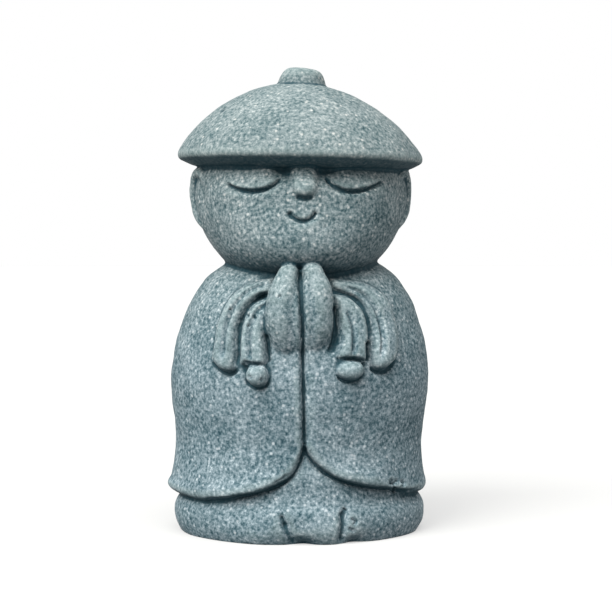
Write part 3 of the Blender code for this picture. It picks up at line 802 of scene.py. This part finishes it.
def in_fixed_order(obj):
    """Rebuild a mesh with sorted faces and keep its hollow attribute."""
    values = np.zeros(len(obj.data.vertices), np.float32)
    obj.data.attributes["hollow"].data.foreach_get("value", values)
    faces = []
    for face in obj.data.polygons:
        corners = list(face.vertices)
        first = corners.index(min(corners))
        faces.append(corners[first:] + corners[:first])
    bm = bmesh.new()
    layer = bm.verts.layers.float.new("hollow")
    points = [bm.verts.new(vertex.co) for vertex in obj.data.vertices]
    for point, value in zip(points, values):
        point[layer] = value
    for corners in sorted(faces):
        bm.faces.new([points[i] for i in corners])
    mesh = bpy.data.meshes.new(obj.name)
    bm.to_mesh(mesh)
    bm.free()
    obj.data = mesh


in_fixed_order(figure)
thin = figure.modifiers.new("Thin", "DECIMATE")
thin.ratio = MOST_TRIANGLES / (2 * len(figure.data.polygons))
figure = as_mesh(figure)
print("thinned to", len(figure.data.polygons), "faces")

# %% [markdown]
# The casting stands on a flat underside, ground level after it came out of the mould. The figure
# is cut at the ground with a plane, the hole is closed with one face, and the whole is moved so
# that its box has its middle above the origin, as the CAD solid's has.

# %% Flat underside, centred
bm = bmesh.new()
bm.from_mesh(figure.data)
geometry = bm.verts[:] + bm.edges[:] + bm.faces[:]
cut = bmesh.ops.bisect_plane(bm, geom=geometry, dist=0.01 * U, plane_co=(0, 0, 0),
                             plane_no=(0, 0, -1), clear_outer=True)
for piece in cut["geom_cut"]:
    if isinstance(piece, bmesh.types.BMVert):
        piece.co.z = 0
rim = [piece for piece in cut["geom_cut"] if isinstance(piece, bmesh.types.BMEdge)]
bmesh.ops.contextual_create(bm, geom=rim)
middle = [(min(v.co[i] for v in bm.verts) + max(v.co[i] for v in bm.verts)) / 2 for i in (0, 1)]
bmesh.ops.translate(bm, vec=(-middle[0], -middle[1], 0), verts=bm.verts)
for face in bm.faces:
    face.smooth = face.normal.z > -0.99
bm.to_mesh(figure.data)
bm.free()
print("moved to the middle by", [round(-value / U, 2) for value in middle], "U")

# %% [markdown]
# The stone is a mix of sand and powder, so its colour is a fine speckle: most of it a middle
# blue-grey, with paler flecks and darker gaps well under a millimetre wide. One noise texture gives
# that speckle, a second one thirteen times as wide makes the tone wander a little from place to
# place, and a colour ramp turns the sum into stone colours. The hat, which the rain has washed
# most, gets less contrast. All of it is in object space, so the speckle runs through the stone from
# side to side, as in a real casting, and needs no unwrapping.

# %% Helpers for the stone's nodes
def add_node(tree, kind, **settings):
    """A node of a kind, with its properties set."""
    made = tree.nodes.new(kind)
    for key, value in settings.items():
        setattr(made, key, value)
    return made


def feed(tree, socket, value):
    """Give a socket a number or colour, or link another node's output to it."""
    if isinstance(value, bpy.types.NodeSocket):
        tree.links.new(value, socket)
    else:
        socket.default_value = value


def worked_out(tree, operation, first, second):
    """The result of a sum on two values."""
    made = add_node(tree, "ShaderNodeMath", operation=operation)
    feed(tree, made.inputs[0], first)
    feed(tree, made.inputs[1], second)
    return made.outputs[0]


def ramp(tree, source, stops):
    """A colour ramp on a value, with stops of (place, colour). A plain number is a grey."""
    made = add_node(tree, "ShaderNodeValToRGB")
    for i, (place, colour) in enumerate(stops):
        if 0 < i < len(stops) - 1:
            stop = made.color_ramp.elements.new(place)
        else:
            stop = made.color_ramp.elements[0 if i == 0 else -1]
            stop.position = place
        red_green_blue = colour if isinstance(colour, tuple) else (colour,) * 3
        stop.color = (*red_green_blue, 1)
    tree.links.new(source, made.inputs["Fac"])
    return made.outputs["Color"]


def mixed(tree, kind, amount, first, second):
    """Two colours mixed by an amount."""
    made = add_node(tree, "ShaderNodeMix", data_type="RGBA", blend_type=kind)
    for i, value in ((0, amount), (6, first), (7, second)):
        feed(tree, made.inputs[i], value)
    return made.outputs[2]


def noise(tree, where, width, detail=2.0, rough=0.5):
    """A noise whose features are about a given width across, in U."""
    made = add_node(tree, "ShaderNodeTexNoise")
    made.inputs["Scale"].default_value = 1 / (width * U)
    made.inputs["Detail"].default_value = detail
    made.inputs["Roughness"].default_value = rough
    tree.links.new(where, made.inputs["Vector"])
    return made.outputs["Fac"]


print("with U in metres, a pattern 1 U wide needs a scale of", round(1 / U))

# %% Speckled stone
SPECKLE_WIDTH = 0.70
WANDER_WIDTH = 9.0
SPECKLE_SHARE = 0.8
WANDER_SHARE = 0.2
MIDDLE_TONE = 0.5
STONE_COLOURS = [
    (0.0, (0.003, 0.013, 0.018)), (0.34, (0.009, 0.026, 0.033)), (0.41, (0.030, 0.056, 0.064)),
    (0.47, (0.055, 0.084, 0.092)), (0.53, (0.083, 0.115, 0.124)), (0.60, (0.125, 0.160, 0.168)),
    (0.67, (0.205, 0.245, 0.250)), (1.0, (0.32, 0.35, 0.35)),
]

stone = bpy.data.materials.new("speckled_cast_stone")
stone.use_nodes = True
tree = stone.node_tree
shader = tree.nodes["Principled BSDF"]
coordinates = add_node(tree, "ShaderNodeTexCoord")
where = coordinates.outputs["Object"]
speckle = noise(tree, where, SPECKLE_WIDTH, 3.0, 0.65)
wander = noise(tree, where, WANDER_WIDTH, 3.0, 0.5)
speckle_part = worked_out(tree, "MULTIPLY", speckle, SPECKLE_SHARE)
wander_part = worked_out(tree, "MULTIPLY", wander, WANDER_SHARE)
tone = worked_out(tree, "ADD", speckle_part, wander_part)
split = add_node(tree, "ShaderNodeSeparateXYZ")
tree.links.new(where, split.inputs["Vector"])
height_share = worked_out(tree, "DIVIDE", split.outputs["Z"], HEIGHT)
contrast = ramp(tree, height_share, [(0.76, 1.0), (0.82, 0.82)])
off_middle = worked_out(tree, "SUBTRACT", tone, MIDDLE_TONE)
tone = worked_out(tree, "ADD", worked_out(tree, "MULTIPLY", off_middle, contrast), MIDDLE_TONE)
stone_colour = ramp(tree, tone, STONE_COLOURS)
print("stone nodes:", len(tree.nodes))

# %% [markdown]
# Here and there lies a single bigger grain of pale sand. A Voronoi texture scatters points through
# the stone and gives each one a random colour. Only the few points whose random value is high show,
# and only close to the point, so each one is a small fleck.

# %% Pale flecks
FLECK_SPACING = 1.3
FLECK_STRENGTH = 0.55
FLECK_COLOUR = (0.27, 0.30, 0.30, 1)

flecks = add_node(tree, "ShaderNodeTexVoronoi", feature="F1")
flecks.inputs["Scale"].default_value = 1 / (FLECK_SPACING * U)
tree.links.new(where, flecks.inputs["Vector"])
is_chosen = ramp(tree, flecks.outputs["Color"], [(0.62, 0.0), (0.68, 1.0)])
is_close = ramp(tree, flecks.outputs["Distance"], [(0.16, 1.0), (0.30, 0.0)])
fleck = worked_out(tree, "MULTIPLY", is_chosen, is_close)
fleck = worked_out(tree, "MULTIPLY", fleck, FLECK_STRENGTH)
stone_colour = mixed(tree, "MIX", fleck, stone_colour, FLECK_COLOUR)
print("flecks about", round(FLECK_SPACING * U * 1000, 1), "mm apart, before most are left out")

# %% [markdown]
# The hat and the shoulders, which the weather reaches first, have gone a little warmer than the
# blue-grey foot. The height in object space drives that tint. Grooves and broad hollows are a deep
# blue-green, partly patina that no hand wipes off and partly painted shade, and raised edges are a
# trace paler, partly rubbed and partly a painted highlight: both come from the hollow attribute.
# The undersides of the hat, the folds and the hem get the same dark colour as painted shade, read
# from how far a surface faces down by its normal.

# %% Patina, painted shade and paler edges
GROOVES_FROM = 0.38
# A paler colour for rubbed edges, which is also a painted highlight on them.
EDGE_WEAR_AND_HIGHLIGHT_COLOUR = (0.19, 0.23, 0.228, 1)
# A dark blue-green for the patina in grooves and for painted shade in hollows and underneath.
DARK_PATINA_AND_SHADE_COLOUR = (0.004, 0.020, 0.028, 1)

tint = ramp(tree, height_share, [(0.35, (1.02, 1.0, 1.06)), (0.55, (1.06, 1.0, 1.01)),
                                 (0.82, (1.11, 0.99, 0.96))])
stone_colour = mixed(tree, "MULTIPLY", 1.0, stone_colour, tint)
hollow_value = add_node(tree, "ShaderNodeAttribute", attribute_name="hollow").outputs["Fac"]
# Painted shade and patina: grooves and broad hollows, such as under the hat, go towards the dark
# colour.
groove_patina_and_shade = ramp(tree, hollow_value, [(GROOVES_FROM, 0.0), (0.90, 0.88)])
# Painted highlight and wear: raised edges go towards the paler colour.
edge_wear_and_highlight = ramp(tree, worked_out(tree, "MULTIPLY", hollow_value, -1.0), [(0.55, 0.0), (1.0, 0.20)])
facing = add_node(tree, "ShaderNodeSeparateXYZ")
tree.links.new(coordinates.outputs["Normal"], facing.inputs["Vector"])
faces_down = worked_out(tree, "MULTIPLY", facing.outputs["Z"], -1.0)
# Painted shade: surfaces that face down go towards the dark colour, whatever the lamps do.
painted_underside_shade = ramp(tree, faces_down, [(0.50, 0.0), (0.85, 0.80)])
stone_colour = mixed(tree, "MIX", edge_wear_and_highlight, stone_colour, EDGE_WEAR_AND_HIGHLIGHT_COLOUR)
# The painted shade underneath and the dark grooves are mixed into the stone's colour.
for darkening in (painted_underside_shade, groove_patina_and_shade):
    stone_colour = mixed(tree, "MIX", darkening, stone_colour, DARK_PATINA_AND_SHADE_COLOUR)
tree.links.new(stone_colour, shader.inputs["Base Color"])
print("share of points in grooves:", round((hollow > GROOVES_FROM).mean(), 3))

# %% [markdown]
# Cast stone powder is matt, with only a trace of a shine, and a little more so in some spots than
# in others. A bump from the speckle gives the surface its tooth: real points that small would need
# millions of triangles, and a bump only bends the light that falls on the surface.

# %% Matt finish and tooth
SHINE = 0.1
TOOTH_DEPTH = 0.15 * U
TOOTH_STRENGTH = 0.5

roughness = ramp(tree, noise(tree, where, 1.5), [(0.3, 0.75), (0.7, 0.95)])
tree.links.new(roughness, shader.inputs["Roughness"])
shader.inputs["Specular IOR Level"].default_value = SHINE
bump = add_node(tree, "ShaderNodeBump")
bump.inputs["Strength"].default_value = TOOTH_STRENGTH
bump.inputs["Distance"].default_value = TOOTH_DEPTH
tree.links.new(tone, bump.inputs["Height"])
tree.links.new(bump.outputs["Normal"], shader.inputs["Normal"])
figure.data.materials.clear()
figure.data.materials.append(stone)
print("the stone's nodes, all told:", len(tree.nodes))

# %% [markdown]
# The fine figure now takes the place of the CAD solid. That solid stays in the physics model with
# its mass and its collision pieces, and the figure rides on the same body.

# %% Hand over to the frame
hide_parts("monk_statue")
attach(figure, "root")
print("figure:", len(figure.data.polygons), "faces on the body root")

# %% [markdown]
# The light is that of a plain product photograph. A white world gives soft light from all sides. A
# large lamp above the camera's left shoulder makes the left side brighter, a second one hangs high
# in front and lights the hat and the belly, and a weak one on the right keeps that side from going
# black. Sun lamps with a wide angle stand for them, because they light the floor evenly up to the
# horizon. The floor is a pale matt table with a glow of its own, as a table lit from below has, so
# it looks white. Blender's Standard view keeps the colours as they are mixed, where the default
# view would grey the white ground.

# %% Floor
FLOOR_RADIUS = 3.0
FLOOR_GREY = (0.15, 0.15, 0.15, 1)
FLOOR_GLOW = 0.50

floor_mesh = bpy.data.meshes.new("floor")
bm = bmesh.new()
bmesh.ops.create_circle(bm, cap_ends=True, segments=96, radius=FLOOR_RADIUS)
bm.to_mesh(floor_mesh)
bm.free()
floor = add_object("floor", floor_mesh)
pale = bpy.data.materials.new("pale_floor")
pale.use_nodes = True
pale_shader = pale.node_tree.nodes["Principled BSDF"]
pale_shader.inputs["Base Color"].default_value = FLOOR_GREY
pale_shader.inputs["Roughness"].default_value = 1.0
pale_shader.inputs["Specular IOR Level"].default_value = 0.0
pale_shader.inputs["Emission Color"].default_value = (1, 1, 1, 1)
pale_shader.inputs["Emission Strength"].default_value = FLOOR_GLOW
floor.data.materials.append(pale)
print("floor:", 2 * FLOOR_RADIUS, "m across")

# %% World and lamps
LAMPS = (("key_lamp", -44, 42, 7.0), ("top_lamp", 0, 68, 4.5), ("fill_lamp", 90, 40, 0.5))
LAMP_ANGLE = math.radians(40)
LAMP_COLOUR = (1.0, 1.0, 0.96)

world = bpy.data.worlds.new("white_studio")
bpy.context.scene.world = world
world.use_nodes = True
world.node_tree.nodes["Background"].inputs["Color"].default_value = (1, 1, 1, 1)
world.node_tree.nodes["Background"].inputs["Strength"].default_value = 1.0

for name, azimuth, elevation, strength in LAMPS:
    lamp_data = bpy.data.lights.new(name, "SUN")
    lamp_data.angle = LAMP_ANGLE
    lamp_data.energy = strength
    lamp_data.color = LAMP_COLOUR
    around, up = math.radians(azimuth), math.radians(elevation)
    direction = (math.sin(around) * math.cos(up), -math.cos(around) * math.cos(up), math.sin(up))
    lamp = add_object(name, lamp_data)
    look_at(lamp, Vector(direction), (0, 0, 0))
bpy.context.scene.view_settings.view_transform = "Standard"
print("lamps:", [name for name, *_ in LAMPS])
